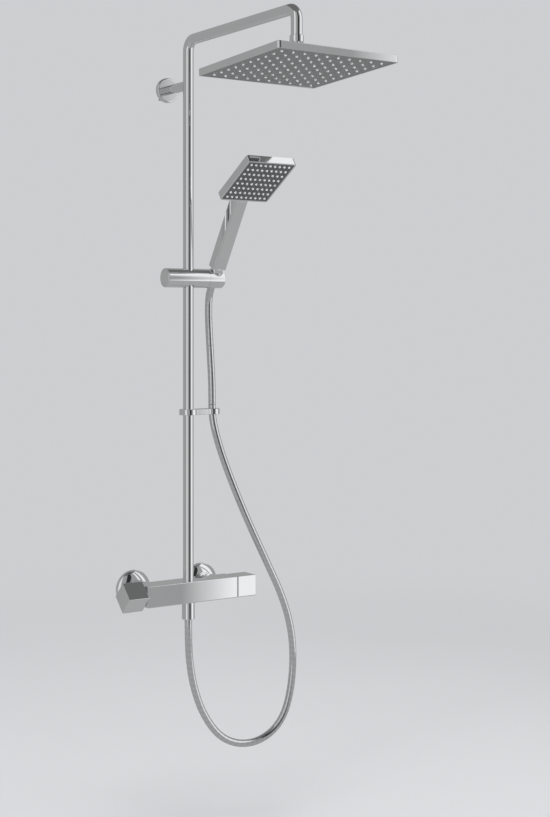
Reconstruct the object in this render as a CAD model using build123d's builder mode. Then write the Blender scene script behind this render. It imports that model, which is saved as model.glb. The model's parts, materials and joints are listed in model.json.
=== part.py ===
from build123d import *
import os
from math import asin, cos, degrees, radians, sin, tan

# Thermostatic mixer shower with an overhead rain head and a hand shower on a riser.
# X runs along the wall, Y into the wall and Z up. The origin lies on the wall face,
# midway between the two water inlets.

os.makedirs("parts", exist_ok=True)

# Clearances
running_fit = 0.1
seat_gap = 0.3
slip_fit = 0.05

# Mixer bar and its two handles
inlet_spacing = 150.0
axis_out = 82.0
body_length = 196.0
bar_side = 40.0
body_rear = 26.0
edge_round = 1.0
bar_edge_round = 1.6
handle_length = 42.0
handle_wall = 3.0
handle_gap = 0.5
temperature_rest = 45.0
hub_d = 16.0
hub_start = 6.0
spindle_d = 8.0
spindle_inside = 16.0
spindle_outside = 24.0
grub_d = 4.0
grub_length = 3.8
grub_access_d = 5.0
grub_from_body = 14.0

# Cartridges
cartridge_d = 28.0
cartridge_length = 48.0
cartridge_nut_length = 10.0
cartridge_nut_bore = 14.0
cartridge_nut_proud = 1.0
oring_section = 2.0
oring_shares = (0.12, 0.52)
port_shares = (0.3, 0.62)
port_groove = 1.5
port_width = 8.0
stop_ring_d = 26.0
stop_ring_length = 4.0
stop_lug = 3.0
channel_d = 6.5
channel_rise = 8.0
channel_overlap = 2.0
port_bore = 12.0

# Inlets
tail_thread_d = 20.955
tail_depth = 24.0
thread_relief = 0.6
thread_relief_depth = 1.2
union_thread_d = 26.4
union_front = 28.0
union_flange_d = 30.0
union_flange_length = 4.0
union_bore = 14.0
seal_thickness = 2.0
nipple_flange_d = 26.0
nipple_flange_length = 4.6
nipple_stem_d = 20.0
nipple_bore = 14.0
nipple_socket = 10.0
nut_flats = 32.0
boss_d = 28.0
boss_length = 12.0
valve_length = 18.0
valve_start = 38.0
valve_wall = 2.0
valve_seat_step = 6.0
escutcheon_d = 70.6
escutcheon_rim = 7.0
escutcheon_depth = 15.0
escutcheon_hub_d = 37.0
escutcheon_wall = 1.5
escutcheon_sag = 1.5

# Riser and overhead arm
tube_d = 20.0
tube_wall = 1.5
riser_socket = 9.5
joint_height = 915.0
joiner_length = 50.0
joiner_wall = 2.0
joiner_shares = (0.2, 0.7)
arm_height = 1038.0
arm_reach = 355.0
bend_radius = 20.0
collar_top = 991.0
collar_d = 24.0
collar_length = 12.0
collar_web = 5.7

# Wall bracket
bracket_height = 954.0
flange_d = 47.0
flange_depth = 8.5
flange_edge = 2.5
flange_wall = 1.5
stub_d = 18.0
stub_bore = 10.0
stub_web = 5.0
base_d = 40.0
base_thickness = 4.0
base_spigot_length = 30.0
bolt_d = 6.0
bolt_head_d = 9.0
bolt_head = 3.0
bolt_grip = 3.0
screw_d = 4.5
screw_head_d = 8.0
screw_shank_d = 3.8
screw_depth = 26.0
screw_offset = 14.0

# Rain head, measured down from the centre of its ball joint
ball_height = 965.0
ball_d = 18.0
ball_stem_d = 9.0
ball_thread_d = 12.0
ball_bore = 5.0
seat_outer_r = 10.9
seat_inner_r = 9.1
cavity_r = 11.0
seat_limit = 6.0
seat_clear = 1.0
nut_top = 7.0
ball_nut_d = 28.0
ball_nut_skirt = 16.0
hub_top = 6.0
head_hub_d = 24.0
head_hub_bore = 10.0
head_tilt = -2.75
head_side = 244.0
head_thickness = 11.9
head_drop = 19.6
head_corner = 6.0
head_wall = 3.0
head_roof = 2.5
ledge_width = 4.0
plate_thickness = 2.0
plate_recess = 0.5
nozzle_rows = 10
nozzle_pitch = 22.5
nozzle_flange_d = 7.0
nozzle_flange = 1.0
nozzle_d = 5.0
nozzle_tip_d = 3.4
nozzle_proud = 1.8
nozzle_bore = 1.2
nozzle_drill = 7.0

# Slider, holder and hand shower
slider_height = 590.0
slider_d = 36.0
slider_left = 51.0
holder_seam = 39.0
holder_right = 73.0
holder_edge = 2.0
liner_wall = 2.0
liner_length = 26.0
cap_d = 30.0
cap_thickness = 3.0
pivot_d = 5.0
pivot_head_d = 9.5
pivot_head = 2.4
pivot_length = 18.0
washer_d = 22.0
washer_thickness = 1.0
grip_x = 57.0
grip_tilt = 31.6
cone_top_d = 26.0
cone_bottom_d = 21.0
cone_above = 16.0
cone_below = 12.0
cone_clearance = 0.25
slot_width = 15.0
hose_thread_d = 20.8
hose_washer_thickness = 2.0
hose_washer_d = 18.8
ferrule_flange_d = 15.0
ferrule_flange = 4.0
ferrule_d = 10.6
ferrule_bore = 7.0
neck_d = 22.0
grip_start = 24.0
grip_width = 28.0
grip_depth = 20.0
grip_front = 9.0
grip_edge = 2.0
grip_bore = 8.0
root_rise = 1.9
root_length = 42.0
panel_width = 24.0
panel_thickness = 1.5
panel_start = 26.0
panel_length = 144.0
panel_margin = 4.1
plate_lower_y = -13.9
plate_bend = 26.1
plate_width = 104.0
plate_length = 116.0
plate_depth = 14.0
plate_corner = 5.0
plate_rim = 3.0
plate_cavity = 8.0
hand_columns = 9
hand_rows = 8
hand_pitch_x = 10.2
hand_pitch_z = 13.6
hand_nozzle_scale = 1.0

# Hose, hose nut and hose guide
hose_d = 14.0
hose_bore = 9.0
hose_exit_run = 17.5
arc_share = 0.45
hose_nut_d = 24.0
hose_nut_length = 33.0
outlet_length = 11.0
outlet_bore = 9.0
guide_height = 337.3
guide_thickness = 11.0
guide_x = 52.6
guide_ring_d = 34.0
guide_eye_d = 29.0
guide_eye_bore = 16.5
guide_bar = 16.0
guide_slot = 12.5
hose_joint_height = 350.0
hose_rise_start = 26.5

body_front = axis_out + bar_side / 2
body_back = axis_out - body_rear
column = Plane(origin=(0, -axis_out, 0))
slider_axis = Plane(origin=(0, -axis_out, slider_height), x_dir=(0, 1, 0), z_dir=(1, 0, 0))


def wall_plane(x, z=0.0):
    """Plane on the wall whose normal points into the room."""
    return Plane(origin=(x, 0, z), x_dir=(1, 0, 0), z_dir=(0, -1, 0))


def end_plane(side):
    """Plane through the middle of the bar, facing one of its ends."""
    return Plane(origin=(0, -axis_out, 0), x_dir=(0, side, 0), z_dir=(side, 0, 0))


def turned(plane, start, length, outer_d, bore_d=0.0, mode=Mode.ADD):
    """Add or cut one round step along a plane's normal."""
    with BuildSketch(plane.offset(start)) as profile:
        Circle(outer_d / 2)
        if bore_d:
            Circle(bore_d / 2, mode=Mode.SUBTRACT)
    extrude(profile.sketch, amount=length, mode=mode)


def slab(plane, start, length, width, height, corner=0.0, mode=Mode.ADD):
    """Add or cut one rectangular step along a plane's normal."""
    with BuildSketch(plane.offset(start)) as profile:
        if corner:
            RectangleRounded(width, height, corner)
        else:
            Rectangle(width, height)
    extrude(profile.sketch, amount=length, mode=mode)


def taper(plane, start, end, start_d, end_d, mode=Mode.ADD):
    """Add or cut one round tapered step along a plane's normal."""
    with BuildSketch(plane.offset(start)) as first:
        Circle(start_d / 2)
    with BuildSketch(plane.offset(end)) as last:
        Circle(end_d / 2)
    loft([first.sketch, last.sketch], mode=mode)


def dome(plane, start, end, start_r, end_r, sag, mode=Mode.ADD):
    """Add or cut one round step whose side bulges outwards by sag."""
    meridian = Plane(origin=plane.origin, x_dir=plane.x_dir, z_dir=plane.y_dir * -1)
    with BuildSketch(meridian) as profile:
        with BuildLine() as outline:
            Polyline((end_r, end), (0, end), (0, start), (start_r, start))
            SagittaArc((start_r, start), (end_r, end), -sag)
        make_face()
    revolve(profile.sketch, axis=Axis(plane.origin, plane.z_dir), mode=mode)


def save(piece, label):
    """Name a finished piece and write it as one STEP file."""
    piece.part.label = label
    export_step(piece.part, f"parts/{label}.step")


# Mixer body: a hollow square bar with a cartridge bore in each end
cartridge_start = body_length / 2 - cartridge_nut_length - cartridge_length
cartridge_end = cartridge_start + cartridge_length
channel_reach = cartridge_start + channel_overlap
outlet_foot = -bar_side / 2 - outlet_length
with BuildPart() as mixer_body:
    with BuildSketch(wall_plane(0).offset(body_back)) as bar:
        Rectangle(body_length, bar_side)
    extrude(amount=body_front - body_back)
    fillet(mixer_body.edges(), bar_edge_round)
    for side in (-1, 1):
        inlet = wall_plane(side * inlet_spacing / 2)
        turned(inlet, body_back - boss_length, boss_length, boss_d)
        bore_length = body_length / 2 - cartridge_start
        turned(end_plane(side), cartridge_start, bore_length, cartridge_d, mode=Mode.SUBTRACT)
        socket_depth = boss_length + nipple_socket
        socket_d = nipple_stem_d + running_fit
        turned(inlet, body_back - boss_length, socket_depth, socket_d, mode=Mode.SUBTRACT)
        turned(inlet, body_back, axis_out - body_back, port_bore, mode=Mode.SUBTRACT)
    turned(column, bar_side / 2 - riser_socket, riser_socket, tube_d + running_fit, mode=Mode.SUBTRACT)
    turned(column, channel_rise, bar_side / 2 - channel_rise, channel_d, mode=Mode.SUBTRACT)
    turned(column, outlet_foot, outlet_length + edge_round, hose_thread_d)
    turned(column, outlet_foot, -outlet_foot - channel_rise, outlet_bore, mode=Mode.SUBTRACT)
    for rise in (-channel_rise, channel_rise):
        channel = Plane(origin=(0, -axis_out, rise), z_dir=(1, 0, 0))
        turned(channel, -channel_d / 4, channel_reach, channel_d, mode=Mode.SUBTRACT)
    mixed_channel = Plane(origin=(0, -axis_out + channel_rise, 0), z_dir=(1, 0, 0))
    turned(mixed_channel, -channel_reach, 2 * channel_reach, channel_d, mode=Mode.SUBTRACT)
save(mixer_body, "mixer_body")

# Inlets: the wall union, its cover rose, the coupling nut and the nipple in the body
nipple_face = union_front + seal_thickness + 2 * slip_fit
nipple_end = body_back + nipple_socket - running_fit
nut_start = escutcheon_depth + seat_gap
nut_end = body_back - boss_length - seat_gap
lip_start = nipple_face + nipple_flange_length + slip_fit
for side, word in ((-1, "left"), (1, "right")):
    inlet = wall_plane(side * inlet_spacing / 2)
    with BuildPart() as union_piece:
        turned(inlet, -tail_depth, tail_depth - thread_relief, tail_thread_d, union_bore)
        turned(inlet, -thread_relief, thread_relief, tail_thread_d - thread_relief_depth, union_bore)
        turned(inlet, 0, union_flange_length, union_flange_d, union_bore)
        thread_length = union_front - union_flange_length
        turned(inlet, union_flange_length, thread_length, union_thread_d, union_bore)
        end_edges = union_piece.edges().filter_by(GeomType.CIRCLE).group_by(Axis.Y)
        chamfer((end_edges[0] + end_edges[-1]).sort_by(SortBy.RADIUS)[-2:], edge_round)
    save(union_piece, f"eccentric_union_{word}")

    with BuildPart() as rose:
        turned(inlet, 0, escutcheon_rim, escutcheon_d)
        fillet(rose.edges().filter_by(GeomType.CIRCLE).sort_by(Axis.Y)[0], edge_round)
        outer_r = escutcheon_d / 2 - edge_round
        hub_r = escutcheon_hub_d / 2
        dome(inlet, escutcheon_rim, escutcheon_depth, outer_r, hub_r, escutcheon_sag)
        inner_rim = escutcheon_rim - escutcheon_wall
        inner_depth = escutcheon_depth - escutcheon_wall
        inner_r = outer_r - escutcheon_wall
        inner_hub_r = hub_r - escutcheon_wall
        turned(inlet, 0, inner_rim, 2 * inner_r, mode=Mode.SUBTRACT)
        dome(inlet, inner_rim, inner_depth, inner_r, inner_hub_r, escutcheon_sag, mode=Mode.SUBTRACT)
        turned(inlet, 0, escutcheon_depth, union_thread_d + 2 * slip_fit, mode=Mode.SUBTRACT)
    save(rose, f"escutcheon_{word}")

    with BuildPart() as coupling_nut:
        turned(inlet, nut_start, nut_end - nut_start, nut_flats / cos(radians(30)))
        chamfer(coupling_nut.edges().filter_by(GeomType.CIRCLE), edge_round)
        with BuildSketch(inlet.offset(nut_start)) as hexagon:
            RegularPolygon(nut_flats / 2, 6, major_radius=False)
        extrude(amount=nut_end - nut_start, mode=Mode.INTERSECT)
        turned(inlet, nut_start, lip_start - nut_start, union_thread_d + running_fit, mode=Mode.SUBTRACT)
        turned(inlet, nut_start, nut_end - nut_start, nipple_stem_d + running_fit, mode=Mode.SUBTRACT)
    save(coupling_nut, f"inlet_nut_{word}")

    with BuildPart() as nipple:
        turned(inlet, nipple_face, nipple_flange_length, nipple_flange_d, nipple_bore)
        turned(inlet, nipple_face, nipple_end - nipple_face, nipple_stem_d, nipple_bore)
    save(nipple, f"inlet_nipple_{word}")

with BuildPart() as inlet_seals:
    for side in (-1, 1):
        inlet = wall_plane(side * inlet_spacing / 2)
        seal_d = nipple_flange_d - 2 * seat_gap
        turned(inlet, union_front + slip_fit, seal_thickness, seal_d, union_bore)
save(inlet_seals, "inlet_seals")

valve_d = nipple_bore - 2 * slip_fit
valve_seat = valve_start + valve_seat_step
with BuildPart() as check_valves:
    for side in (-1, 1):
        inlet = wall_plane(side * inlet_spacing / 2)
        turned(inlet, valve_start, valve_length, valve_d, valve_d - 2 * valve_wall)
        turned(inlet, valve_seat, valve_wall, valve_d - valve_wall)
        taper(inlet, valve_seat, valve_start + valve_length, valve_d / 2, valve_wall)
save(check_valves, "check_valves")


# Cartridges, their nuts and seals, and the stops under the handles
barrel_d = cartridge_d - 2 * slip_fit
oring_starts = [cartridge_start + share * cartridge_length for share in oring_shares]
port_starts = [cartridge_start + share * cartridge_length for share in port_shares]


def cartridge(side):
    """One cartridge with its port grooves, seal grooves and spindle bore."""
    axis = end_plane(side)
    with BuildPart() as piece:
        turned(axis, cartridge_start + seat_gap, cartridge_length - seat_gap, barrel_d)
        for start in port_starts:
            groove_d = barrel_d - 2 * port_groove
            turned(axis, start, port_width, cartridge_d, groove_d, mode=Mode.SUBTRACT)
        for start in oring_starts:
            groove_d = cartridge_d - 2 * oring_section
            turned(axis, start, oring_section, cartridge_d, groove_d, mode=Mode.SUBTRACT)
        spindle_foot = body_length / 2 - spindle_inside - seat_gap
        bore_d = spindle_d + running_fit
        turned(axis, spindle_foot, spindle_inside + seat_gap, bore_d, mode=Mode.SUBTRACT)
    return piece


save(cartridge(-1), "thermostatic_cartridge")
save(cartridge(1), "diverter_cartridge")

with BuildPart() as cartridge_orings:
    for side in (-1, 1):
        for start in oring_starts:
            ring_width = oring_section - 2 * slip_fit
            ring_bore = cartridge_d - 2 * oring_section + 2 * slip_fit
            turned(end_plane(side), start + slip_fit, ring_width, barrel_d, ring_bore)
save(cartridge_orings, "cartridge_orings")

ring_length = cartridge_nut_length + cartridge_nut_proud
with BuildPart() as cartridge_nuts:
    for side in (-1, 1):
        turned(end_plane(side), cartridge_end, ring_length, barrel_d, cartridge_nut_bore)
save(cartridge_nuts, "cartridge_nuts")

stop_start = body_length / 2 + cartridge_nut_proud
with BuildPart() as stop_rings:
    for side in (-1, 1):
        turned(end_plane(side), stop_start, stop_ring_length, stop_ring_d, cartridge_nut_bore)
        with BuildSketch(end_plane(side).offset(stop_start)) as lug_profile:
            with Locations((0, -stop_ring_d / 2)):
                Rectangle(2 * stop_lug, 2 * stop_lug)
        extrude(amount=stop_ring_length)
save(stop_rings, "stop_rings")


# Handles: square shells on splined spindles, held by grub screws in their hubs
handle_start = body_length / 2 + handle_gap
handle_end = handle_start + handle_length
hub_foot = handle_start + hub_start
spindle_tip = body_length / 2 + spindle_outside
grub_at = body_length / 2 + grub_from_body


def grub_plane(side, turn):
    """Plane whose normal points from the spindle out of a hidden face of the handle."""
    tilt = radians(turn)
    down = (0, side * sin(tilt), -cos(tilt))
    return Plane(origin=(side * grub_at, -axis_out, 0), x_dir=(1, 0, 0), z_dir=down)


def handle(side, turn, grub_turn):
    """A square handle shell with its hub, turned about the bar's axis."""
    with BuildPart() as piece:
        width_dir = (0, side * cos(radians(turn)), sin(radians(turn)))
        plane = Plane(origin=(0, -axis_out, 0), x_dir=width_dir, z_dir=(side, 0, 0))
        slab(plane, handle_start, handle_length, bar_side, bar_side)
        fillet(piece.edges(), bar_edge_round)
        inner = bar_side - 2 * handle_wall
        slab(plane, handle_start, handle_length - handle_wall, inner, inner, mode=Mode.SUBTRACT)
        turned(plane, hub_foot, handle_end - handle_wall - hub_foot, hub_d)
        spindle_bore = spindle_d + running_fit
        bore_length = spindle_tip + seat_gap - hub_foot
        turned(plane, hub_foot, bore_length, spindle_bore, mode=Mode.SUBTRACT)
        grub = grub_plane(side, grub_turn)
        turned(grub, 0, hub_d, grub_d + running_fit, mode=Mode.SUBTRACT)
        turned(grub, hub_d / 2 + edge_round, bar_side, grub_access_d, mode=Mode.SUBTRACT)
    return piece


def spindle(side):
    """A spindle that runs from the cartridge into the handle's hub."""
    with BuildPart() as piece:
        start = body_length / 2 - spindle_inside
        turned(end_plane(side), start, spindle_tip - start, spindle_d)
        chamfer(piece.edges().filter_by(GeomType.CIRCLE), edge_round / 2)
    return piece


def grub_screw(side, grub_turn):
    """The grub screw between hub and spindle."""
    with BuildPart() as piece:
        plane = grub_plane(side, grub_turn)
        start = spindle_d / 2 + slip_fit
        turned(plane, start, grub_length, grub_d)
        with BuildSketch(plane.offset(start + grub_length)) as key:
            RegularPolygon(grub_d / 4, 6)
        extrude(amount=-grub_length / 2, mode=Mode.SUBTRACT)
    return piece


handles = ((-1, "temperature", temperature_rest, -temperature_rest), (1, "flow", 0, 0))
for side, word, turn, grub_turn in handles:
    save(handle(side, turn, grub_turn), f"{word}_handle")
    save(spindle(side), f"{word}_spindle")
    save(grub_screw(side, grub_turn), f"{word}_grub_screw")

# Riser and overhead arm, joined by a sleeve inside
riser_foot = bar_side / 2 - riser_socket + seat_gap
joiner_foot = joint_height - joiner_length / 2
joiner_d = tube_d - 2 * tube_wall - 2 * slip_fit
groove_bore = joiner_d - joiner_wall
joiner_grooves = [joiner_foot + share * joiner_length for share in joiner_shares]
drop_end = collar_top - collar_length + collar_web + slip_fit
with BuildPart() as riser_tube:
    turned(column, riser_foot, joint_height - riser_foot, tube_d, tube_d - 2 * tube_wall)
save(riser_tube, "riser_tube")

with BuildPart() as tube_joiner:
    turned(column, joiner_foot, joiner_length, joiner_d, joiner_d - 2 * joiner_wall)
    for groove in joiner_grooves:
        turned(column, groove, oring_section, joiner_d, groove_bore, mode=Mode.SUBTRACT)
save(tube_joiner, "tube_joiner")

with BuildPart() as joiner_orings:
    for groove in joiner_grooves:
        ring_width = oring_section - 2 * slip_fit
        turned(column, groove + slip_fit, ring_width, joiner_d, groove_bore + 2 * slip_fit)
save(joiner_orings, "joiner_orings")

bracket_axis = wall_plane(0, bracket_height)
bolt_hole_d = bolt_d + running_fit
with BuildPart() as overhead_arm:
    with BuildLine() as arm_path:
        FilletPolyline(
            (0, -axis_out, joint_height),
            (0, -axis_out, arm_height),
            (0, -axis_out - arm_reach, arm_height),
            (0, -axis_out - arm_reach, drop_end),
            radius=bend_radius,
        )
    with BuildSketch(column.offset(joint_height)) as tube_section:
        Circle(tube_d / 2)
        Circle(tube_d / 2 - tube_wall, mode=Mode.SUBTRACT)
    sweep()
    turned(bracket_axis, axis_out - tube_d, tube_d, bolt_hole_d, mode=Mode.SUBTRACT)
save(overhead_arm, "overhead_arm")

# Wall bracket: base, hollow stub with a saddle end, bolt, cover rose and wall screws
stub_foot = base_thickness + slip_fit
stub_end = axis_out - tube_d / 2 - stub_web
bolt_tip = axis_out - tube_d / 2 + bolt_grip
cover_cavity = flange_depth - flange_edge
with BuildPart() as bracket_base:
    turned(bracket_axis, 0, base_thickness, base_d)
    turned(bracket_axis, 0, base_spigot_length, stub_bore - 2 * slip_fit)
    with BuildSketch(bracket_axis) as screw_holes:
        with Locations((0, -screw_offset), (0, screw_offset)):
            Circle(screw_d / 2 + slip_fit)
    extrude(amount=base_thickness, mode=Mode.SUBTRACT)
save(bracket_base, "bracket_base")

with BuildPart() as bracket_stub:
    turned(bracket_axis, stub_foot, axis_out - stub_foot, stub_d)
    turned(bracket_axis, stub_foot, stub_end - stub_foot, stub_bore, mode=Mode.SUBTRACT)
    turned(bracket_axis, stub_foot, axis_out, bolt_hole_d, mode=Mode.SUBTRACT)
    saddle = column.offset(bracket_height - stub_d)
    turned(saddle, 0, 2 * stub_d, tube_d + 2 * slip_fit, mode=Mode.SUBTRACT)
save(bracket_stub, "bracket_stub")

with BuildPart() as bracket_bolt:
    head_start = stub_end - bolt_head
    turned(bracket_axis, head_start, bolt_head, bolt_head_d)
    turned(bracket_axis, head_start, bolt_tip - head_start, bolt_d)
    with BuildSketch(bracket_axis.offset(head_start)) as bolt_key:
        RegularPolygon(bolt_d / 2 - seat_gap, 6)
    extrude(amount=bolt_head / 2, mode=Mode.SUBTRACT)
save(bracket_bolt, "bracket_bolt")

with BuildPart() as wall_flange:
    turned(bracket_axis, 0, flange_depth, flange_d)
    fillet(wall_flange.edges().filter_by(GeomType.CIRCLE).sort_by(Axis.Y)[0], flange_edge)
    turned(bracket_axis, 0, cover_cavity, flange_d - 2 * flange_wall, mode=Mode.SUBTRACT)
    turned(bracket_axis, 0, flange_depth, stub_d + 2 * slip_fit, mode=Mode.SUBTRACT)
save(wall_flange, "wall_flange")

with BuildPart() as wall_screws:
    for rise in (-screw_offset, screw_offset):
        screw_axis = wall_plane(0, bracket_height + rise)
        head_start = base_thickness + slip_fit
        turned(screw_axis, -screw_depth, screw_depth - thread_relief, screw_d)
        turned(screw_axis, -thread_relief, thread_relief + head_start, screw_shank_d)
        taper(screw_axis, -screw_depth - screw_d, -screw_depth, screw_d / 4, screw_d)
        turned(screw_axis, head_start, cover_cavity - head_start - slip_fit, screw_head_d)
save(wall_screws, "wall_screws")

# Ball joint at the end of the arm
arm_end = Plane(origin=(0, -axis_out - arm_reach, 0))
collar_foot = collar_top - collar_length
with BuildPart() as arm_collar:
    turned(arm_end, collar_foot, collar_length, collar_d)
    chamfer(arm_collar.edges().filter_by(GeomType.CIRCLE), edge_round / 2)
    socket_foot = collar_foot + collar_web
    turned(arm_end, socket_foot, collar_length, tube_d + 2 * slip_fit, mode=Mode.SUBTRACT)
    turned(arm_end, collar_foot, collar_length, ball_thread_d + 2 * slip_fit, mode=Mode.SUBTRACT)
save(arm_collar, "arm_collar")

ball_centre = (0, -axis_out - arm_reach, ball_height)
with BuildPart() as swivel_ball:
    with Locations(ball_centre):
        Sphere(ball_d / 2)
    turned(arm_end, ball_height, collar_foot - ball_height, ball_stem_d)
    turned(arm_end, collar_foot, collar_web - slip_fit, ball_thread_d)
    turned(arm_end, ball_height - ball_d, 3 * ball_d, ball_bore, mode=Mode.SUBTRACT)
save(swivel_ball, "swivel_ball")

head_rad = radians(head_tilt)
head_plane = Plane(origin=ball_centre, x_dir=(1, 0, 0), z_dir=(0, -sin(head_rad), cos(head_rad)))


def ball_seat(low, high):
    """A ring between two spheres and between two levels of the ball."""
    with BuildPart() as piece:
        turned(head_plane, low, high - low, 2 * seat_outer_r)
        with Locations(ball_centre):
            Sphere(seat_outer_r, mode=Mode.INTERSECT)
        with Locations(ball_centre):
            Sphere(seat_inner_r, mode=Mode.SUBTRACT)
    return piece


save(ball_seat(seat_clear, seat_limit), "ball_seat_upper")
save(ball_seat(-seat_limit - seat_clear, -seat_clear), "ball_seat_lower")

with BuildPart() as ball_nut:
    turned(head_plane, -ball_nut_skirt, ball_nut_skirt + nut_top, ball_nut_d)
    chamfer(ball_nut.edges().filter_by(GeomType.CIRCLE), edge_round)
    with Locations(ball_centre):
        Sphere(cavity_r, mode=Mode.SUBTRACT)
    skirt_depth = ball_nut_skirt - hub_top + slip_fit
    turned(head_plane, -ball_nut_skirt, skirt_depth, head_hub_d + 2 * slip_fit, mode=Mode.SUBTRACT)
save(ball_nut, "ball_nut")

# Rain head: a shallow square tray closed by a spray plate with soft nozzles
head_foot = -head_drop - head_thickness
inner_side = head_side - 2 * head_wall
plate_foot = head_foot + plate_recess
ledge_foot = plate_foot + plate_thickness + slip_fit
ledge_side = inner_side - 2 * ledge_width
roof = -head_drop - head_roof
with BuildPart() as rain_head_shell:
    slab(head_plane, head_foot, head_thickness, head_side, head_side, head_corner)
    fillet(rain_head_shell.faces().sort_by(Axis.Z)[-1].edges(), edge_round)
    slab(head_plane, head_foot, ledge_foot - head_foot, inner_side, inner_side, mode=Mode.SUBTRACT)
    slab(head_plane, ledge_foot, roof - ledge_foot, ledge_side, ledge_side, mode=Mode.SUBTRACT)
    turned(head_plane, -head_drop - slip_fit, head_drop + slip_fit - hub_top, head_hub_d)
    with Locations(ball_centre):
        Sphere(cavity_r, mode=Mode.SUBTRACT)
    turned(head_plane, head_foot, -head_foot, head_hub_bore, mode=Mode.SUBTRACT)
save(rain_head_shell, "rain_head_shell")

with BuildPart() as rain_filter:
    turned(head_plane, -head_drop + edge_round, 2 * edge_round, head_hub_bore - 2 * slip_fit)
save(rain_filter, "rain_filter")


def nozzle_grid(plane, columns, rows, pitch_x, pitch_y, diameter):
    """Circles for all nozzles of one spray plate."""
    with BuildSketch(plane) as grid:
        with GridLocations(pitch_x, pitch_y, columns, rows):
            Circle(diameter / 2)
    return grid.sketch


def spray_plate(plane, width, height, spray, hole_d):
    """A flat plate with one hole per nozzle."""
    with BuildPart() as piece:
        slab(plane, 0, plate_thickness, width, height)
        extrude(nozzle_grid(plane, *spray, hole_d), amount=plate_thickness, mode=Mode.SUBTRACT)
    return piece


def nozzle_set(plane, spray, scale=1.0):
    """All nozzles of one plate: a flange behind the plate and a tapered tip before it."""
    draft = degrees(asin((nozzle_d - nozzle_tip_d) / 2 / nozzle_proud))
    with BuildPart() as piece:
        flange = nozzle_grid(plane.offset(plate_thickness), *spray, scale * nozzle_flange_d)
        extrude(flange, amount=nozzle_flange)
        body = nozzle_grid(plane, *spray, scale * nozzle_d - 2 * slip_fit)
        extrude(body, amount=plate_thickness)
        extrude(body, amount=-scale * nozzle_proud, taper=draft)
        bore_foot = plane.offset(-nozzle_drill)
        bores = nozzle_grid(bore_foot, *spray, scale * nozzle_bore)
        extrude(bores, amount=2 * nozzle_drill, mode=Mode.SUBTRACT)
    return piece


rain_spray = (nozzle_rows, nozzle_rows, nozzle_pitch, nozzle_pitch)
rain_plane = head_plane.offset(plate_foot)
rain_side = inner_side - 2 * slip_fit
save(spray_plate(rain_plane, rain_side, rain_side, rain_spray, nozzle_d), "rain_spray_plate")
save(nozzle_set(rain_plane, rain_spray), "rain_nozzles")

# Slider on the riser and the turning holder at its right end
cross_length = slider_left + holder_seam
liner_d = tube_d + 2 * liner_wall
recess = holder_seam - washer_thickness
pivot_bore = pivot_d + 2 * slip_fit
with BuildPart() as slider_body:
    turned(slider_axis, -slider_left, cross_length, slider_d)
    fillet(slider_body.edges().filter_by(GeomType.CIRCLE).sort_by(Axis.X)[0], edge_round)
    riser_bore = column.offset(slider_height - slider_d)
    turned(riser_bore, 0, 2 * slider_d, liner_d + 2 * slip_fit, mode=Mode.SUBTRACT)
    turned(slider_axis, -slider_left, cap_thickness + running_fit, cap_d, mode=Mode.SUBTRACT)
    turned(slider_axis, recess, washer_thickness, washer_d + 2 * slip_fit, mode=Mode.SUBTRACT)
    turned(slider_axis, holder_seam - pivot_length, pivot_length, pivot_bore, mode=Mode.SUBTRACT)
save(slider_body, "slider_body")

with BuildPart() as slider_liner:
    liner_foot = slider_height - liner_length / 2
    turned(column, liner_foot, liner_length, liner_d, tube_d + 2 * running_fit)
save(slider_liner, "slider_liner")

with BuildPart() as slider_end_cap:
    turned(slider_axis, -slider_left, cap_thickness, cap_d - 2 * slip_fit)
    chamfer(slider_end_cap.edges().filter_by(GeomType.CIRCLE).sort_by(Axis.X)[0], edge_round / 2)
save(slider_end_cap, "slider_end_cap")

with BuildPart() as holder_washer:
    washer_bore = pivot_d + 2 * running_fit
    turned(slider_axis, recess, washer_thickness + seat_gap - running_fit, washer_d, washer_bore)
save(holder_washer, "holder_washer")

grip_rad = radians(grip_tilt)
grip_origin = (grip_x, -axis_out, slider_height)
grip = Plane(origin=grip_origin, x_dir=(1, 0, 0), z_dir=(0, -sin(grip_rad), cos(grip_rad)))
cone_rise = (cone_top_d - cone_bottom_d) / (cone_above + cone_below)


def cone_size(at):
    """Diameter of the hose cone at a height along the grip."""
    return cone_bottom_d + (at + cone_below) * cone_rise


holder_start = holder_seam + seat_gap
cone_gap = 2 * cone_clearance
head_seat = grip_x - (cone_size(0) + cone_gap) / 2 - pivot_head
with BuildPart() as holder_cone:
    turned(slider_axis, holder_start, holder_right - holder_start, slider_d)
    fillet(holder_cone.edges().filter_by(GeomType.CIRCLE).sort_by(Axis.X)[-1], holder_edge)
    hole_low = cone_size(-slider_d) + cone_gap
    hole_high = cone_size(slider_d) + cone_gap
    taper(grip, -slider_d, slider_d, hole_low, hole_high, mode=Mode.SUBTRACT)
    with BuildSketch(grip.offset(-slider_d)) as slot_profile:
        with Locations((slider_d / 2, 0)):
            Rectangle(slider_d, slot_width)
    extrude(amount=2 * slider_d, mode=Mode.SUBTRACT)
    turned(slider_axis, holder_start, grip_x - holder_start, pivot_bore, mode=Mode.SUBTRACT)
    turned(slider_axis, head_seat, grip_x - head_seat, pivot_head_d + cone_gap, mode=Mode.SUBTRACT)
save(holder_cone, "holder_cone")

with BuildPart() as pivot_screw:
    pivot_foot = holder_seam - pivot_length + seat_gap
    turned(slider_axis, pivot_foot, head_seat + slip_fit - pivot_foot, pivot_d)
    turned(slider_axis, head_seat + slip_fit, pivot_head - seat_gap, pivot_head_d)
save(pivot_screw, "pivot_screw")


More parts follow.
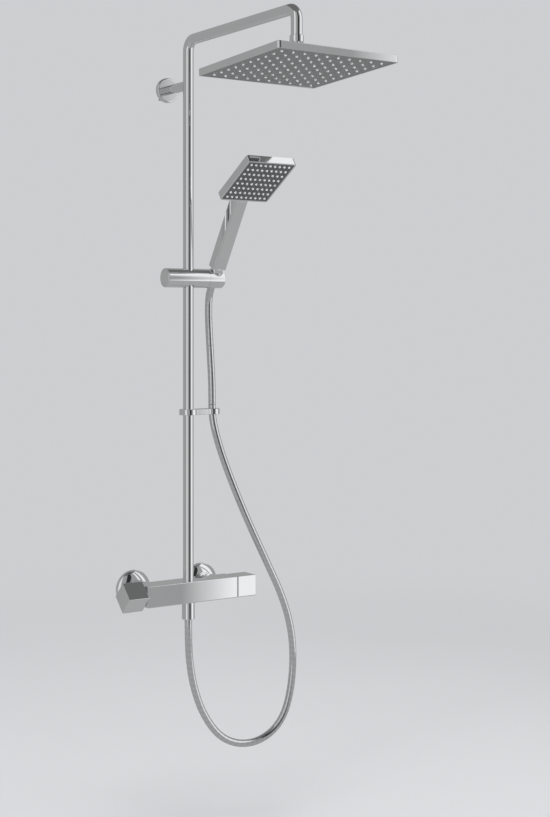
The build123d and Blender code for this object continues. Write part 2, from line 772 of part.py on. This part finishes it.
# Hose end pieces: a nut, a washer and a ferrule that turns in the nut
def hose_end_bores(plane, reach, thread_length):
    """Cut the thread, the ferrule seat and the stem bore of a hose nut."""
    seat = -ferrule_flange - slip_fit
    turned(plane, 0, thread_length, hose_thread_d + running_fit, mode=Mode.SUBTRACT)
    turned(plane, seat, thread_length - seat, ferrule_flange_d + 2 * slip_fit, mode=Mode.SUBTRACT)
    turned(plane, -reach, reach, ferrule_d + 2 * slip_fit, mode=Mode.SUBTRACT)


def ferrule(plane, reach):
    """A hose end: a flange inside the nut and a stem down to the hose."""
    with BuildPart() as piece:
        turned(plane, -ferrule_flange, ferrule_flange, ferrule_flange_d, ferrule_bore)
        turned(plane, -reach - seat_gap, reach + seat_gap, ferrule_d, ferrule_bore)
    return piece


def hose_washer(plane):
    """The flat washer between a ferrule and the thread above it."""
    with BuildPart() as piece:
        washer_length = hose_washer_thickness - slip_fit
        turned(plane, slip_fit, washer_length, hose_washer_d, ferrule_d)
    return piece


with BuildPart() as hose_cone_nut:
    taper(grip, -cone_below, cone_above, cone_bottom_d, cone_top_d)
    hose_end_bores(grip, cone_below, cone_above)
save(hose_cone_nut, "hose_cone_nut")
save(ferrule(grip, cone_below), "hose_ferrule_upper")
save(hose_washer(grip), "hose_washer_upper")

hose_nut_top = -bar_side / 2 - seat_gap
hose_fit = column.offset(outlet_foot - hose_washer_thickness)
hose_fit_below = hose_nut_length - (hose_nut_top - hose_fit.origin.Z)
with BuildPart() as hose_nut:
    turned(column, hose_nut_top - hose_nut_length, hose_nut_length, hose_nut_d)
    chamfer(hose_nut.edges().filter_by(GeomType.CIRCLE), edge_round)
    hose_end_bores(hose_fit, hose_fit_below, hose_nut_length - hose_fit_below)
save(hose_nut, "hose_nut")
save(ferrule(hose_fit, hose_fit_below), "hose_ferrule_lower")
save(hose_washer(hose_fit), "hose_washer_lower")

# Hand shower: a flat hollow grip that bends into a square spray head
bend_rad = radians(plate_bend)
plate_lower_z = panel_start + panel_length + panel_margin
root_start = plate_lower_z + root_rise
plate_up = grip.y_dir * -sin(bend_rad) + grip.z_dir * cos(bend_rad)
plate_back = grip.y_dir * cos(bend_rad) + grip.z_dir * sin(bend_rad)
plate_low = grip.origin + grip.y_dir * plate_lower_y + grip.z_dir * plate_lower_z
spray_centre = plate_low + plate_up * (plate_length / 2)
spray_face = Plane(origin=spray_centre, x_dir=(-1, 0, 0), z_dir=plate_back)
side_view = Plane(origin=grip_origin, x_dir=grip.y_dir, z_dir=(1, 0, 0))
grip_back = grip_depth - grip_front
back_y = plate_lower_y + plate_depth * cos(bend_rad)
back_z = plate_lower_z + plate_depth * sin(bend_rad)
inside_y = plate_lower_y + plate_depth / 2 * cos(bend_rad) - root_length / 2 * sin(bend_rad)
inside_z = plate_lower_z + plate_depth / 2 * sin(bend_rad) + root_length / 2 * cos(bend_rad)
spigot_foot = hose_washer_thickness + slip_fit
with BuildPart() as handset_body:
    with BuildSketch(side_view) as grip_profile:
        with BuildLine() as grip_outline:
            Polyline(
                (-grip_front, grip_start),
                (grip_back, grip_start),
                (grip_back, root_start),
                (back_y - root_length * sin(bend_rad), back_z + root_length * cos(bend_rad)),
                (inside_y, inside_z),
                (-grip_front, plate_lower_z + plate_depth / 2 * sin(bend_rad)),
                close=True,
            )
        make_face()
    extrude(amount=grip_width / 2, both=True)
    fillet(handset_body.edges().filter_by(Axis(grip.origin, grip.z_dir)), grip_edge)
    slab(spray_face, 0, plate_depth, plate_width, plate_length, plate_corner)
    slab(spray_face, 0, plate_cavity, plate_width - 2 * plate_rim, plate_length - 2 * plate_rim,
         mode=Mode.SUBTRACT)
    turned(grip, spigot_foot, grip_start - spigot_foot, hose_thread_d)
    turned(grip, cone_above + seat_gap, grip_start - cone_above, neck_d)
    turned(grip, spigot_foot, plate_lower_z + grip_bore, grip_bore, mode=Mode.SUBTRACT)
    passage = Plane(origin=plate_low + plate_up * grip_bore, z_dir=plate_back)
    turned(passage, plate_cavity - slip_fit, plate_depth - plate_cavity, grip_bore, mode=Mode.SUBTRACT)
save(handset_body, "handset_body")

front_plane = Plane(origin=grip.origin - grip.y_dir * grip_front, x_dir=(1, 0, 0), z_dir=grip.y_dir * -1)
with BuildPart() as handset_front_panel:
    with BuildSketch(front_plane) as panel_outline:
        with Locations((0, panel_start + panel_length / 2)):
            Rectangle(panel_width, panel_length)
    extrude(amount=panel_thickness)
    chamfer(handset_front_panel.faces().sort_by(Axis.Y)[0].edges(), panel_thickness / 4)
save(handset_front_panel, "handset_front_panel")

hand_spray = (hand_columns, hand_rows, hand_pitch_x, hand_pitch_z)
hand_plane = spray_face.offset(plate_recess)
hand_width = plate_width - 2 * plate_rim - 2 * slip_fit
hand_length = plate_length - 2 * plate_rim - 2 * slip_fit
hand_hole_d = nozzle_d * hand_nozzle_scale
save(spray_plate(hand_plane, hand_width, hand_length, hand_spray, hand_hole_d), "handset_spray_plate")
save(nozzle_set(hand_plane, hand_spray, hand_nozzle_scale), "handset_nozzles")

# Hose guide: a flat bar with a ring on the riser and an eye for the hose
guide_foot = guide_height - guide_thickness / 2
with BuildPart() as hose_guide:
    with BuildSketch(column.offset(guide_foot)) as guide_outline:
        Circle(guide_ring_d / 2)
        with Locations((guide_x / 2, 0)):
            Rectangle(guide_x, guide_bar)
        with Locations((guide_x, 0)):
            Circle(guide_eye_d / 2)
    extrude(amount=guide_thickness)
    chamfer(hose_guide.faces().filter_by(Axis.Z).edges(), edge_round / 2)
    with BuildSketch(column.offset(guide_foot)) as guide_holes:
        Circle(liner_d / 2 + slip_fit)
        with Locations((guide_x, 0)):
            Circle(guide_eye_bore / 2)
        with Locations((guide_x, guide_eye_d / 2)):
            Rectangle(guide_slot, guide_eye_d)
    extrude(amount=guide_thickness, mode=Mode.SUBTRACT)
save(hose_guide, "hose_guide")

with BuildPart() as guide_liner:
    turned(column, guide_foot, guide_thickness, liner_d, tube_d + 2 * running_fit)
save(guide_liner, "guide_liner")


# Hose: two stretches that meet above the guide, each along straight runs joined by arcs
def hose_stretch(points, label):
    """Sweep the hose's ring section along one route and print how the route bends."""
    route = [Vector(point) for point in points]
    runs = [end - start for start, end in zip(route, route[1:])]
    radii = []
    for before, after in zip(runs, runs[1:]):
        half_turn = radians(before.get_angle(after)) / 2
        radii.append(arc_share * min(before.length, after.length) / tan(half_turn))
    with BuildPart() as piece:
        with BuildLine() as path:
            centre_line = FilletPolyline(*points, radius=radii)
        length = centre_line.length
        with BuildSketch(Plane(origin=route[0], z_dir=runs[0].normalized())) as section:
            Circle(hose_d / 2)
            Circle(hose_bore / 2, mode=Mode.SUBTRACT)
        sweep()
    volume = section.sketch.area * length
    print(label, "length", round(length, 1), "smallest radius", round(min(radii), 1),
          "volume over section times length", round(piece.part.volume / volume, 4))
    print(label, "radii", [round(radius) for radius in radii])
    save(piece, label)


hose_start = hose_nut_top - hose_nut_length - seat_gap
hose_tip = grip.origin - grip.z_dir * (cone_below + seat_gap)
hose_approach = grip.origin - grip.z_dir * (cone_below + seat_gap + hose_exit_run)
hose_stretch(
    [
        (0, -82, hose_start),
        (0, -82, -95),
        (3.2, -82.5, -141),
        (11.5, -84.5, -187),
        (28, -88, -234),
        (57, -92.5, -277),
        (92.6, -96.5, -299.5),
        (134.3, -101, -304.5),
        (173, -104.5, -291),
        (201, -107, -262),
        (215, -108.5, -221),
        (222, -109, -172),
        (222.5, -108, -119),
        (213, -106, -66),
        (195, -103, -16),
        (171, -100, 33),
        (146.5, -96.5, 83),
        (123.5, -92.5, 131.5),
        (103, -89, 179),
        (85, -86, 223),
        (70, -84, 263),
        (58.8, -82.6, 300),
        (guide_x, -axis_out, 331),
        (guide_x, -axis_out, hose_joint_height),
    ],
    "hose_lower",
)
# The upper stretch bows: share of the way up, share of the way across, bow towards the wall
upper_bow = (
    (0.2654, 0.159, 3.0),
    (0.4144, 0.591, 9.4),
    (0.5587, 1.205, 17.1),
    (0.6937, 1.682, 23.4),
    (0.8078, 1.795, 25.6),
    (0.9144, 1.455, 22.7),
)
rise = hose_approach.Z - hose_joint_height
hose_stretch(
    [
        (guide_x, -axis_out, hose_joint_height),
        (guide_x, -axis_out, hose_joint_height + hose_rise_start),
        *[
            (guide_x + across * (grip_x - guide_x), bow - axis_out, hose_joint_height + up * rise)
            for up, across, bow in upper_bow
        ],
        tuple(hose_approach),
        tuple(hose_tip),
    ],
    "hose_upper",
)
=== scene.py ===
import json
from math import cos, pi, radians, sin

import bpy
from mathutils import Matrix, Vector


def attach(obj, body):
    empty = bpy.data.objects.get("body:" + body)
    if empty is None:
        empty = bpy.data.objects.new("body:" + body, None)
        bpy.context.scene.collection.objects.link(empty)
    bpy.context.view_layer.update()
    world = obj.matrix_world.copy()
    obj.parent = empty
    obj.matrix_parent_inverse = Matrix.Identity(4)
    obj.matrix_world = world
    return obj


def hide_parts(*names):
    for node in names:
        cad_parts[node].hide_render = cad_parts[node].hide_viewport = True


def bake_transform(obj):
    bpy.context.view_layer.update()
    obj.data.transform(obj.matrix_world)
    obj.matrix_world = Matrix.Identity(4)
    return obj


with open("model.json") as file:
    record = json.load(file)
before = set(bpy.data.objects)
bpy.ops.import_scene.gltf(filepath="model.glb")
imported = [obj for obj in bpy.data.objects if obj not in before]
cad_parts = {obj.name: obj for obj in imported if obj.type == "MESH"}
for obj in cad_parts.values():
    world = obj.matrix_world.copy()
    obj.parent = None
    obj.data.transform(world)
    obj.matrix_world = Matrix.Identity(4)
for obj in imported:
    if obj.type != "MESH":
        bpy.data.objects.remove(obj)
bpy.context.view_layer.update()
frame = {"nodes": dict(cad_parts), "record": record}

nodes = frame["nodes"]
scene = bpy.context.scene

# Camera at the photograph's view
CAMERA_AT = (-1.4372, -2.4773, 0.5054)
CAMERA_TURN = radians(34.322)
CAMERA_LENS = 65.11
CAMERA_SENSOR = 36.0
CAMERA_SHIFT_Y = -0.1047
CAMERA_REACH = 100.0

# Hose: its section, the length of one piece of its surface and of one turn of its foil
HOSE_RADIUS = 0.007
HOSE_SIDES = 24
HOSE_STEP = 0.0018
HOSE_PITCH = 0.011
SPLINE_ORDER = 3
SPLINE_READINGS = 24
# Heights where the upper hose passes from one joint's stretch to the next
HOSE_LIMITS = (0.460, 0.512, 0.547)
# The routes, from the outlet under the bar to the guide and from there to the hand shower
LOWER_ROUTE = (
    (0, -0.082, -0.0536),
    (0, -0.082, -0.095),
    (0.0032, -0.0825, -0.141),
    (0.0115, -0.0845, -0.187),
    (0.028, -0.088, -0.234),
    (0.057, -0.0925, -0.277),
    (0.0926, -0.0965, -0.2995),
    (0.1343, -0.101, -0.3045),
    (0.173, -0.1045, -0.291),
    (0.201, -0.107, -0.262),
    (0.215, -0.1085, -0.221),
    (0.222, -0.109, -0.172),
    (0.2225, -0.108, -0.119),
    (0.213, -0.106, -0.066),
    (0.195, -0.103, -0.016),
    (0.171, -0.1, 0.033),
    (0.1465, -0.0965, 0.083),
    (0.1235, -0.0925, 0.1315),
    (0.103, -0.089, 0.179),
    (0.085, -0.086, 0.223),
    (0.07, -0.084, 0.263),
    (0.0588, -0.0826, 0.3),
    (0.0526, -0.082, 0.331),
    (0.0526, -0.082, 0.35),
)
UPPER_ROUTE = (
    (0.0526, -0.082, 0.35),
    (0.0526, -0.082, 0.3765),
    (0.0533, -0.079, 0.407),
    (0.0552, -0.0726, 0.439),
    (0.0579, -0.0649, 0.47),
    (0.06, -0.0586, 0.499),
    (0.0605, -0.0564, 0.5235),
    (0.059, -0.0593, 0.5464),
    (0.057, -0.06649, 0.56479),
    (0.057, -0.07566, 0.57969),
)


class Nodes:
    """Short helper for building one material's node tree."""

    def __init__(self, name):
        self.material = bpy.data.materials.new(name)
        self.material.use_nodes = True
        self.tree = self.material.node_tree
        self.shader = self.tree.nodes["Principled BSDF"]
        self.place = self.add("ShaderNodeTexCoord").outputs["Object"]

    def add(self, kind, **settings):
        node = self.tree.nodes.new(kind)
        for key, value in settings.items():
            setattr(node, key, value)
        return node

    def link(self, output, socket):
        self.tree.links.new(output, socket)

    def noise(self, scale, detail=3.0, roughness=0.5, stretch=(1, 1, 1)):
        mapping = self.add("ShaderNodeMapping")
        mapping.inputs["Scale"].default_value = stretch
        self.link(self.place, mapping.inputs["Vector"])
        node = self.add("ShaderNodeTexNoise")
        node.inputs["Scale"].default_value = scale
        node.inputs["Detail"].default_value = detail
        node.inputs["Roughness"].default_value = roughness
        self.link(mapping.outputs["Vector"], node.inputs["Vector"])
        return node.outputs["Fac"]

    def spread(self, value, low, high, start=0.35, end=0.65):
        node = self.add("ShaderNodeMapRange")
        node.inputs["From Min"].default_value = start
        node.inputs["From Max"].default_value = end
        node.inputs["To Min"].default_value = low
        node.inputs["To Max"].default_value = high
        self.link(value, node.inputs["Value"])
        return node.outputs["Result"]

    def tint(self, value, first, second):
        node = self.add("ShaderNodeMix", data_type="RGBA")
        node.inputs["A"].default_value = (*first, 1)
        node.inputs["B"].default_value = (*second, 1)
        self.link(value, node.inputs["Factor"])
        return node.outputs["Result"]

    def bump(self, height, strength, distance):
        node = self.add("ShaderNodeBump")
        node.inputs["Strength"].default_value = strength
        node.inputs["Distance"].default_value = distance
        self.link(height, node.inputs["Height"])
        self.link(node.outputs["Normal"], self.shader.inputs["Normal"])

    def fixed(self, **values):
        for key, value in values.items():
            self.shader.inputs[key.replace("_", " ")].default_value = value


def plated(name, low, high, dull, waviness):
    """Polished plating between two colours, with faint wiping marks and a slight waviness."""
    m = Nodes(name)
    m.fixed(Metallic=1.0)
    wiped = m.noise(9, 5, 0.6, (1, 1, 0.35))
    m.link(m.tint(m.spread(wiped, 0, 1), low, high), m.shader.inputs["Base Color"])
    m.link(m.spread(m.noise(28, 6, 0.62), dull, dull + 0.02), m.shader.inputs["Roughness"])
    m.bump(m.noise(14, 1, 0.3), waviness, 0.0003)
    return m.material


def grained(name, low, high, gloss, grain, depth):
    """Moulded plastic or rubber between two colours, with a fine grain of one scale and depth."""
    m = Nodes(name)
    m.link(m.tint(m.spread(m.noise(60, 4), 0, 1), low, high), m.shader.inputs["Base Color"])
    m.link(m.spread(m.noise(180, 3), gloss, gloss + 0.12), m.shader.inputs["Roughness"])
    m.bump(m.noise(grain, 3, 0.6), 0.25, depth)
    return m


def machined(name, low, high, gloss):
    """Turned metal between two colours, with fine tool marks."""
    m = Nodes(name)
    m.fixed(Metallic=1.0)
    marks = m.noise(900, 2, 0.5, (1, 1, 6))
    m.link(m.tint(m.spread(m.noise(40, 4), 0, 1), low, high), m.shader.inputs["Base Color"])
    m.link(m.spread(marks, gloss, gloss + 0.15), m.shader.inputs["Roughness"])
    m.bump(marks, 0.3, 0.00005)
    return m.material


def hose_cover():
    """Clear cover over a silver foil wound in a slow spiral."""
    m = Nodes("hose_cover")
    m.fixed(Metallic=1.0, Coat_Weight=0.3, Coat_Roughness=0.05)
    turn = m.add("ShaderNodeAttribute", attribute_name="foil")
    foil = m.spread(turn.outputs["Fac"], 0, 1, -1, 1)
    m.link(m.tint(foil, (0.72, 0.73, 0.745), (0.78, 0.79, 0.80)), m.shader.inputs["Base Color"])
    m.link(m.spread(m.noise(60, 3), 0.07, 0.11), m.shader.inputs["Roughness"])
    m.bump(foil, 0.04, 0.0001)
    return m.material


chrome = plated("chrome", (0.85, 0.857, 0.87), (0.89, 0.896, 0.905), 0.012, 0.03)
plated_plastic = plated("plated_plastic", (0.85, 0.855, 0.865), (0.885, 0.89, 0.9), 0.016, 0.04)
brass = machined("brass", (0.66, 0.5, 0.24), (0.76, 0.6, 0.32), 0.25)
steel = machined("steel", (0.54, 0.54, 0.55), (0.64, 0.64, 0.655), 0.3)
rubber = grained("black_rubber", (0.025, 0.025, 0.026), (0.045, 0.045, 0.046), 0.5, 1500, 0.00005)
cartridge = grained("cartridge_plastic", (0.7, 0.69, 0.64), (0.78, 0.77, 0.72), 0.4, 1200, 0.00005)
nylon = grained("nylon", (0.8, 0.8, 0.78), (0.88, 0.88, 0.86), 0.35, 1400, 0.00003)
spray = grained("spray_plate", (0.065, 0.067, 0.071), (0.085, 0.087, 0.092), 0.14, 2200, 0.00002)
spray.fixed(Coat_Weight=0.4, Coat_Roughness=0.06)
silicone = grained("nozzle_silicone", (0.91, 0.915, 0.92), (0.95, 0.955, 0.96), 0.35, 1600, 0.00003)
hose_material = hose_cover()

finishes = {
    "chrome": chrome,
    "plated_plastic": plated_plastic,
    "brass": brass,
    "steel": steel,
    "black_rubber": rubber.material,
    "cartridge_plastic": cartridge.material,
    "nylon": nylon.material,
    "spray_plate": spray.material,
    "nozzle_silicone": silicone.material,
    "hose_cover": hose_material,
}
for entry in frame["record"]["subparts"]:
    node = nodes[entry["node"]]
    for place in node.material_slots:
        place.material = finishes[entry["material_slot"]]


def centre_line(name, route):
    """The smooth line through one route, as evenly read points of its spline."""
    curve = bpy.data.curves.new(name, "CURVE")
    curve.dimensions = "3D"
    spline = curve.splines.new("NURBS")
    spline.points.add(len(route) - 1)
    for point, at in zip(spline.points, route):
        point.co = (*at, 1)
    spline.order_u = SPLINE_ORDER
    spline.use_endpoint_u = True
    spline.resolution_u = SPLINE_READINGS
    holder = bpy.data.objects.new(name, curve)
    scene.collection.objects.link(holder)
    mesh = bpy.data.meshes.new_from_object(holder)
    read = [vertex.co.copy() for vertex in mesh.vertices]
    bpy.data.objects.remove(holder)
    bpy.data.curves.remove(curve)
    bpy.data.meshes.remove(mesh)
    line = [read[0]]
    for start, end in zip(read, read[1:]):
        steps = max(1, round((end - start).length / HOSE_STEP))
        line += [start.lerp(end, (i + 1) / steps) for i in range(steps)]
    return line


def tube(name, line, travelled):
    """A round tube around a line. Its foil attribute winds with the length travelled."""
    points, faces, foil = [], [], []
    ahead = (line[1] - line[0]).normalized()
    side = ahead.cross(Vector((0, 1, 0))).normalized()
    for i, at in enumerate(line):
        before, after = line[max(i - 1, 0)], line[min(i + 1, len(line) - 1)]
        ahead = (after - before).normalized()
        side = (side - ahead * side.dot(ahead)).normalized()
        up = ahead.cross(side)
        if i:
            travelled += (at - line[i - 1]).length
        for k in range(HOSE_SIDES):
            angle = 2 * pi * k / HOSE_SIDES
            points.append(at + (side * cos(angle) + up * sin(angle)) * HOSE_RADIUS)
            foil.append(sin(2 * pi * travelled / HOSE_PITCH + angle))
        if i:
            ring = (i - 1) * HOSE_SIDES
            for k in range(HOSE_SIDES):
                n = (k + 1) % HOSE_SIDES
                faces.append((ring + k, ring + n, ring + HOSE_SIDES + n, ring + HOSE_SIDES + k))
    last = (len(line) - 1) * HOSE_SIDES
    faces.append(tuple(reversed(range(HOSE_SIDES))))
    faces.append(tuple(range(last, last + HOSE_SIDES)))
    mesh = bpy.data.meshes.new(name)
    mesh.from_pydata(points, [], faces)
    mesh.attributes.new("foil", "FLOAT", "POINT").data.foreach_set("value", foil)
    for face in mesh.polygons:
        face.use_smooth = len(face.vertices) == 4
    mesh.materials.append(hose_material)
    piece = bpy.data.objects.new(name, mesh)
    scene.collection.objects.link(piece)
    return piece, travelled


lower_line = centre_line("hose_lower_line", LOWER_ROUTE)
upper_line = centre_line("hose_upper_line", UPPER_ROUTE)
hose_run, travelled = tube("hose_run", lower_line, 0.0)
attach(hose_run, "root")
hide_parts("hose_lower")

# The upper hose passes three joints and a sliding connection, so it has a stretch for each of
# them. Neighbouring stretches share a point
stretches = [[], [], [], []]
for point in upper_line:
    where = sum(point.z >= limit for limit in HOSE_LIMITS)
    if where and not stretches[where]:
        stretches[where - 1].append(point)
    stretches[where].append(point)
joined = (
    ("hose_rise", "root", "slide_sleeve"),
    ("hose_swing", "slide_sleeve", "slider"),
    ("hose_lean", "slider", "holder"),
    ("hose_tip", "holder", "hose_end"),
)
for (name, first_body, last_body), line in zip(joined, stretches):
    piece, travelled = tube(name, line, travelled)
    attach(piece, first_body)
    piece.parent = None
    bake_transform(piece)
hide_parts("hose_upper")

# Floor and world
FLOOR_HEIGHT = -0.46
FLOOR_HALF = 20.0
FLOOR_LOW = (0.72, 0.73, 0.74)
FLOOR_HIGH = (0.74, 0.75, 0.76)
FLOOR_FADE = (0.9, 3.0)
BACKGROUND = (0.61, 0.62, 0.635)
WORLD_LIGHT = (0.45, 0.45, 0.46)

floor_mesh = bpy.data.meshes.new("floor")
floor_sides = ((-1, -1), (1, -1), (1, 1), (-1, 1))
floor_corners = [(x * FLOOR_HALF, y * FLOOR_HALF, FLOOR_HEIGHT) for x, y in floor_sides]
floor_mesh.from_pydata(floor_corners, [], [(0, 1, 2, 3)])
floor = bpy.data.objects.new("floor", floor_mesh)
scene.collection.objects.link(floor)
floor_look = Nodes("floor")
floor_look.fixed(Roughness=0.9, Specular_IOR_Level=0.1)
floor_colour = floor_look.tint(floor_look.noise(1.5), FLOOR_LOW, FLOOR_HIGH)
floor_look.link(floor_colour, floor_look.shader.inputs["Base Color"])
floor_mesh.materials.append(floor_look.material)


def shown_rays(tree):
    """1 for the rays that see the background: camera, glossy and transmission rays."""
    rays = tree.nodes.new("ShaderNodeLightPath")
    value = rays.outputs["Is Camera Ray"]
    for kind in ("Is Glossy Ray", "Is Transmission Ray"):
        either = tree.nodes.new("ShaderNodeMath")
        either.operation = "MAXIMUM"
        tree.links.new(value, either.inputs[0])
        tree.links.new(rays.outputs[kind], either.inputs[1])
        value = either.outputs["Value"]
    return value


# Away from the object the floor takes the background's colour, so that no horizon shows
away = floor_look.add("ShaderNodeVectorMath", operation="LENGTH")
floor_look.link(floor_look.place, away.inputs[0])
far = floor_look.spread(away.outputs["Value"], 0, 1, *FLOOR_FADE)
far.node.interpolation_type = "SMOOTHSTEP"
gate = floor_look.add("ShaderNodeMath", operation="MULTIPLY")
floor_look.link(far, gate.inputs[0])
floor_look.link(shown_rays(floor_look.tree), gate.inputs[1])
glow = floor_look.add("ShaderNodeEmission")
glow.inputs["Color"].default_value = (*BACKGROUND, 1)
blend = floor_look.add("ShaderNodeMixShader")
floor_look.link(gate.outputs["Value"], blend.inputs["Fac"])
floor_look.link(floor_look.shader.outputs["BSDF"], blend.inputs[1])
floor_look.link(glow.outputs["Emission"], blend.inputs[2])
floor_look.link(blend.outputs["Shader"], floor_look.tree.nodes["Material Output"].inputs["Surface"])

world = bpy.data.worlds.new("studio")
scene.world = world
world.use_nodes = True
sky = world.node_tree
sky.nodes.clear()
output = sky.nodes.new("ShaderNodeOutputWorld")
mix = sky.nodes.new("ShaderNodeMixShader")
lit = sky.nodes.new("ShaderNodeBackground")
seen = sky.nodes.new("ShaderNodeBackground")
lit.inputs["Color"].default_value = (*WORLD_LIGHT, 1)
seen.inputs["Color"].default_value = (*BACKGROUND, 1)
sky.links.new(shown_rays(sky), mix.inputs["Fac"])
sky.links.new(lit.outputs["Background"], mix.inputs[1])
sky.links.new(seen.outputs["Background"], mix.inputs[2])
sky.links.new(mix.outputs["Shader"], output.inputs["Surface"])


def facing(holder, target):
    """Turn an object so that its local -Z points at a target."""
    holder.rotation_euler = (Vector(target) - holder.location).to_track_quat("-Z", "Y").to_euler()


def lamp(name, at, target, size, glow):
    """A soft rectangular lamp that faces a point of the object."""
    light = bpy.data.lights.new(name, "AREA")
    light.shape = "RECTANGLE"
    light.size, light.size_y = size
    light.energy = glow * pi * size[0] * size[1]
    holder = bpy.data.objects.new(name, light)
    holder.location = at
    facing(holder, target)
    holder.visible_camera = False
    holder.visible_glossy = False
    scene.collection.objects.link(holder)


def card(name, points, faces, shades):
    """Glowing studio card, its emission shaded from point to point, that only polished surfaces
    reflect: painted light and shade for their reflections.
    """
    mesh = bpy.data.meshes.new(name)
    mesh.from_pydata(points, [], faces)
    mesh.attributes.new("shade", "FLOAT", "POINT").data.foreach_set("value", shades)
    material = bpy.data.materials.new(name)
    material.use_nodes = True
    tree = material.node_tree
    tree.nodes.clear()
    shade = tree.nodes.new("ShaderNodeAttribute")
    shade.attribute_name = "shade"
    shine = tree.nodes.new("ShaderNodeEmission")
    out = tree.nodes.new("ShaderNodeOutputMaterial")
    tree.links.new(shade.outputs["Color"], shine.inputs["Color"])
    tree.links.new(shine.outputs["Emission"], out.inputs["Surface"])
    mesh.materials.append(material)
    holder = bpy.data.objects.new(name, mesh)
    holder.visible_camera = False
    holder.visible_diffuse = False
    holder.visible_shadow = False
    scene.collection.objects.link(holder)


# Studio cards around the object. Turn 0 is straight in front of the wall, positive to the right.
# A plain grey surround, with a few soft-edged cards before it. Each glows with its shade, a painted
# reflection of light or dark in the chrome
OBJECT_Y = -0.1
CARD_FOOT = -0.455
CARD_HEAD = 3.0
SURROUND_DISTANCE = 2.0
SURROUND_STEP = 15
SURROUND_SHADE = 0.35
TOP_SHADE = 0.15
FLOOR_SHADE = 0.4
CARD_DISTANCE = 1.9
CARD_EDGE = 5
# The bright cards paint highlights, and the near-black card_front paints a dark band, into the chrome's
# reflections
# Each card's name, first and last turn and shade
CARDS = (
    ("card_right", 30, 75, 0.95),
    ("card_left", -75, -45, 0.8),
    ("card_front", -15, 15, 0.03),
)


def around(turn, distance, height):
    """A point of the studio, by its turn, distance and height."""
    return (distance * sin(radians(turn)), OBJECT_Y - distance * cos(radians(turn)), height)


def upright(name, turns, distance, shades):
    """A standing card through the given turns, with one shade for each."""
    points = [around(turn, distance, z) for turn in turns for z in (CARD_FOOT, CARD_HEAD)]
    faces = [(2 * i, 2 * i + 1, 2 * i + 3, 2 * i + 2) for i in range(len(turns) - 1)]
    card(name, points, faces, [shade for shade in shades for _ in range(2)])


circle = range(-180, 181, SURROUND_STEP)
upright("card_wall", circle, SURROUND_DISTANCE, [SURROUND_SHADE] * len(circle))
for name, height, shade in (("card_top", CARD_HEAD, TOP_SHADE), ("card_floor", CARD_FOOT, FLOOR_SHADE)):
    rim = [around(turn, SURROUND_DISTANCE, height) for turn in circle[:-1]]
    card(name, rim, [tuple(range(len(rim)))], [shade] * len(rim))
for name, first, last, shade in CARDS:
    turns = (first, first + CARD_EDGE, last - CARD_EDGE, last)
    upright(name, turns, CARD_DISTANCE, (SURROUND_SHADE, shade, shade, SURROUND_SHADE))

# Lamps: place, the point that each faces, size and glow
LAMPS = (
    ("right_lamp", (1.581, -1.512, 1.5), (0.0, -0.1, 0.5), (1.256, 1.4), 2.1),
    ("left_lamp", (-2.5, -1.05, 1.6), (0.0, -0.1, 0.5), (0.35, 1.5), 6.6),
    ("low_lamp", (-0.7, -1.9, -0.1), (0.0, -0.35, 0.9), (1.0, 1.0), 2.4),
    ("top_lamp", (-0.5, -0.9, 3.0), (-0.1, -0.3, 0.0), (2.2, 2.2), 3.6),
    ("back_lamp", (0.9, 2.8, 1.8), (0.0, -0.2, 0.4), (1.4, 1.4), 2.0),
)
for entry in LAMPS:
    lamp(*entry)

camera = bpy.data.cameras.new("camera")
camera.lens = CAMERA_LENS
camera.sensor_width = CAMERA_SENSOR
camera.shift_y = CAMERA_SHIFT_Y
camera.clip_end = CAMERA_REACH
viewer = bpy.data.objects.new("camera", camera)
viewer.location = CAMERA_AT
viewer.rotation_euler = (pi / 2, 0, -CAMERA_TURN)
scene.collection.objects.link(viewer)
scene.camera = viewer
scene.view_settings.view_transform = "Standard"
